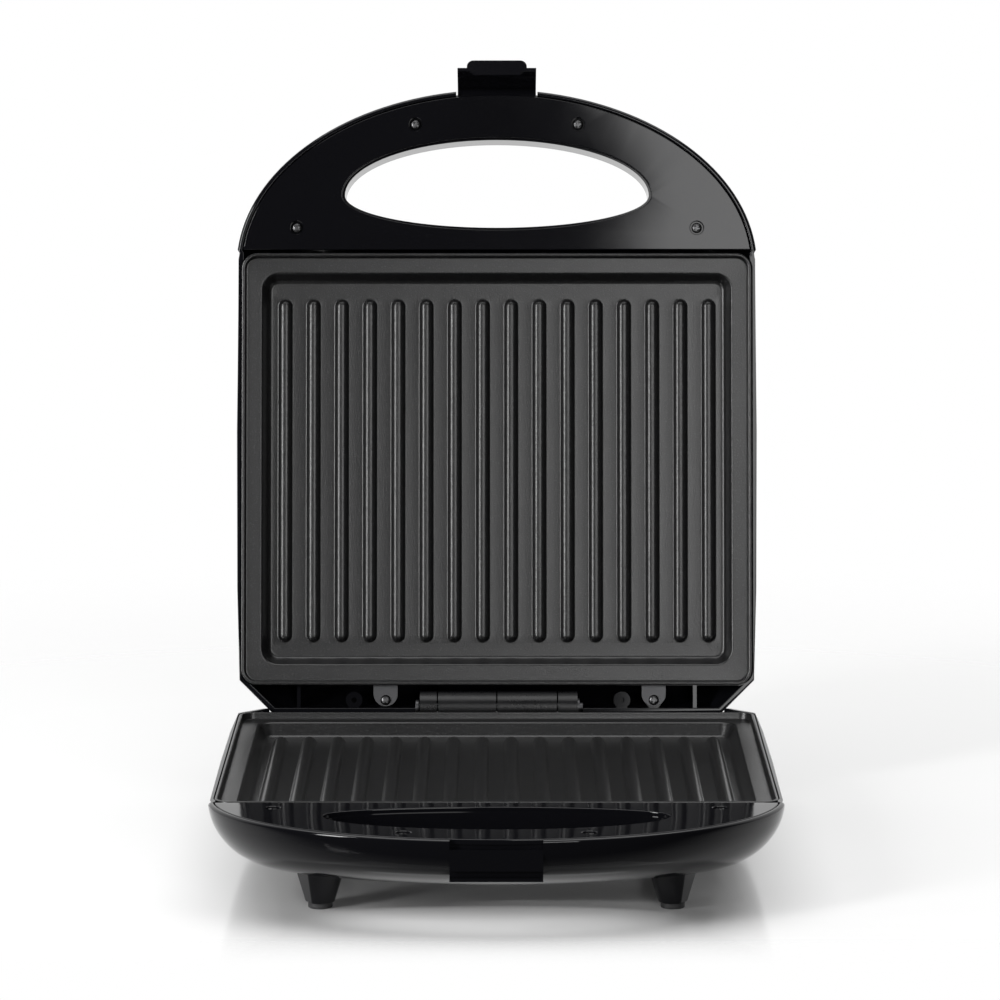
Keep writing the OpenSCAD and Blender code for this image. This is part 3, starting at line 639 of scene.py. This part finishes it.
def refined(name, node, half, material, width=0.0):
    """A copy of a CAD node, merged, with its edges rounded over by width in metres."""
    mesh = bmesh.new()
    mesh.from_mesh(frame["nodes"][node].data)
    bmesh.ops.remove_doubles(mesh, verts=mesh.verts, dist=1e-6)
    bmesh.ops.dissolve_limit(mesh, angle_limit=radians(0.8), verts=mesh.verts, edges=mesh.edges)
    made = bpy.data.objects.new(name, bpy.data.meshes.new(name))
    mesh.to_mesh(made.data)
    mesh.free()
    scene.collection.objects.link(made)
    made.data.shade_smooth()
    made.data.set_sharp_from_angle(angle=radians(38))
    made.data.materials.clear()
    made.data.materials.append(material)
    if width:
        soften = made.modifiers.new("edges", "BEVEL")
        soften.width, soften.segments, soften.limit_method = width, 2, "ANGLE"
        soften.angle_limit = radians(40)
        even = made.modifiers.new("even_shading", "WEIGHTED_NORMAL")
        even.keep_sharp = False
    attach(made, half)
    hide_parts(node)


def grained(name, colour, metallic, rough, spread, scale, detail, relief):
    """A plain finish: one noise gives its roughness a spread and its surface a fine relief."""
    made = Finish(bpy.data.materials.new(name))
    shader = made.nodes["Principled BSDF"]
    place = made.node("ShaderNodeTexCoord", out="Object")
    grain = made.node("ShaderNodeTexNoise",
                      values={"Vector": place, "Scale": scale, "Detail": detail})
    shader.inputs["Base Color"].default_value = (*colour, 1)
    shader.inputs["Metallic"].default_value = metallic
    made.set(shader.inputs["Roughness"], grain * spread + rough)
    bump = made.node("ShaderNodeBump",
                     values={"Height": grain, "Strength": relief, "Distance": 0.0002})
    made.set(shader.inputs["Normal"], bump)
    return made


rubber = grained("matt_black_rubber", (0.016, 0.016, 0.017), 0, 0.5, 0.2, 1600, 2, 0.3)
for corner in ("front_left", "front_right", "rear_left", "rear_right"):
    refined(f"{corner}_pad", f"{corner}_foot_pad", "base", rubber.owner, 0.0005)
refined("inlet_bush", "cord_inlet_bush", "base", rubber.owner, 0.0003)

# ---- Hinge ----
# Knuckles are moulded with each half and turn on one steel pin, headed at its left end and
# held by a spring clip at its right.

satin = Finish(bpy.data.materials.new("satin_black_moulding"))
shader = satin.nodes["Principled BSDF"]
place = satin.node("ShaderNodeTexCoord", out="Object")
grain = satin.node("ShaderNodeTexNoise", values={"Vector": place, "Scale": 1100, "Detail": 3})
worn = satin.node("ShaderNodeTexNoise", values={"Vector": place, "Scale": 90, "Detail": 4})
shader.inputs["Base Color"].default_value = (0.005, 0.005, 0.0055, 1)
shader.inputs["Specular IOR Level"].default_value = 0.3
satin.set(shader.inputs["Roughness"], grain * 0.1 + worn * 0.16 + 0.16)
bump = satin.node("ShaderNodeBump",
                  values={"Height": grain, "Strength": 0.25, "Distance": 0.0002})
satin.set(shader.inputs["Normal"], bump)

knuckle_r, web_end, bore_r = 8.4, 25.5, 2.58
for half, spans in (("lid", flipped(lid_knuckles)), ("base", base_knuckles)):
    knuckles = barrel_tool(spans, knuckle_r, segments=64)
    for span in spans:
        cut(knuckles, block(span, (0, knuckle_r), (0, web_end)), "UNION")
    cut(knuckles, barrel_tool([(a - 1, b + 1) for a, b in spans], bore_r))
    knuckles.name = f"{half}_knuckles"
    put(knuckles, half, None, satin.owner)

# ---- Latch ----
# One moulding: a barrel on a steel pin in the upper handle, a flat plate with a hook behind
# its lower edge, and a rounded finger tab that stands out from it.

refined("latch_clip", "latch", "latch", gloss.owner, 0.0005)

# ---- Screws ----
# Blackened pan-head cross-recess screws hold the covers, and the zinc-plated steel straps that keep each plate in
# its seat. The straps' zinc colour, which the pins share, is painted nearly black: painted shade of the trough
# between the halves, where the straps lie.

blackened = grained("blackened_screw_steel", (0.09, 0.09, 0.092), 1, 0.26, 0.15, 900, 3, 0.2)
# Painted shade: this zinc colour is darkened far below bare zinc to stand for the shade in the trough between the
# halves.
zinc_darkened_as_painted_shade = grained("zinc_steel_painted_shade", (0.075, 0.075, 0.078), 1, 0.36, 0.15, 900, 3, 0.2)
head_profile = [(0, -1.75), (1.1, -1.7), (2.0, -1.42), (2.55, -0.95), (2.78, -0.4), (2.8, 0)]
shank_r = 1.4
cross_size, cross_z = (3.5, 0.95, 1.9, 1), -1.55


def pan_screws(name, places, seat, length, turns):
    """Screws seated at one depth, each turned as far as it was driven home."""
    mesh = bmesh.new()
    profile = head_profile + [(shank_r, 0), (shank_r, length - 1.2), (0, length)]
    for x, y in places:
        points = [mesh.verts.new((x + r, y, seat + h)) for r, h in profile]
        edges = [mesh.edges.new(pair) for pair in zip(points, points[1:])]
        bmesh.ops.spin(mesh, geom=points + edges, cent=(x, y, 0), axis=(0, 0, 1),
                       angle=2 * pi, steps=32, use_merge=True)
    screws = solid(name, mesh)
    for quarter in (0, pi / 2):
        tool = bmesh.new()
        for (x, y), turn in zip(places, turns):
            bar = (Matrix.Translation((x, y, seat + cross_z))
                   @ Matrix.Rotation(radians(turn) + quarter, 4, "Z")
                   @ Matrix.Diagonal(cross_size))
            bmesh.ops.create_cube(tool, size=1, matrix=bar)
        cut(screws, solid("tool", tool))
    return screws


for half in HALVES:
    screws = pan_screws(f"{half}_pan_screws", cover_screws, 2.3, 12, (12, 78, 40, 25))
    put(screws, half, f"{half}_cover_screws", blackened.owner)
    screws = pan_screws(f"{half}_strap_screws", [(x, tab_y) for x in tab_x], 5.9, 10, (5, 50))
    put(screws, half, f"{half}_tab_screws", blackened.owner)
    refined(f"{half}_straps", f"{half}_plate_tabs", half, zinc_darkened_as_painted_shade.owner, 0.0002)
refined("pin", "hinge_pin", "base", zinc_darkened_as_painted_shade.owner, 0.0003)
refined("pin_clip", "hinge_pin_clip", "base", zinc_darkened_as_painted_shade.owner)
refined("latch_rod", "latch_pin", "lid", zinc_darkened_as_painted_shade.owner)

# ---- Inside parts, in the frame's own shapes ----
# Heaters, reflector trays, leads, thermostat, fuse, terminal block, lamps and lenses keep the
# shape they have in the frame. Each slot has its colour, its roughness and how metallic it is.

PLAIN = {
    "blackened_steel": ((0.05, 0.05, 0.052), 0.38, 1.0),
    "zinc_steel": ((0.5, 0.5, 0.5), 0.36, 1.0),
    "heater_sheath": ((0.16, 0.15, 0.14), 0.5, 1.0),
    "aluminised_sheet": ((0.7, 0.7, 0.71), 0.3, 1.0),
    "latch_plastic": ((0.012, 0.012, 0.013), 0.3, 0.0),
    "wire_sleeve": ((0.6, 0.55, 0.45), 0.7, 0.0),
    "brown_resin": ((0.1, 0.05, 0.03), 0.5, 0.0),
    "white_ceramic": ((0.75, 0.73, 0.7), 0.4, 0.0),
    "black_rubber": ((0.02, 0.02, 0.02), 0.7, 0.0),
    "red_lens": ((0.5, 0.02, 0.015), 0.15, 0.0),
    "green_lens": ((0.02, 0.3, 0.06), 0.15, 0.0),
    "lamp_glass": ((0.8, 0.78, 0.75), 0.1, 0.0),
}
finishes = {"black_gloss_shell": gloss, "black_gloss_cover": gloss, "nonstick_plate": coat}
for name, (colour, rough, metallic) in PLAIN.items():
    finishes[name] = grained(name, colour, metallic, rough - 0.06, 0.12, 700, 3, 0.15)

slots = {part["node"]: part["material_slot"] for part in frame["record"]["subparts"]}
for name, node in frame["nodes"].items():
    node.data.materials.clear()
    node.data.materials.append(finishes[slots[name]].owner)
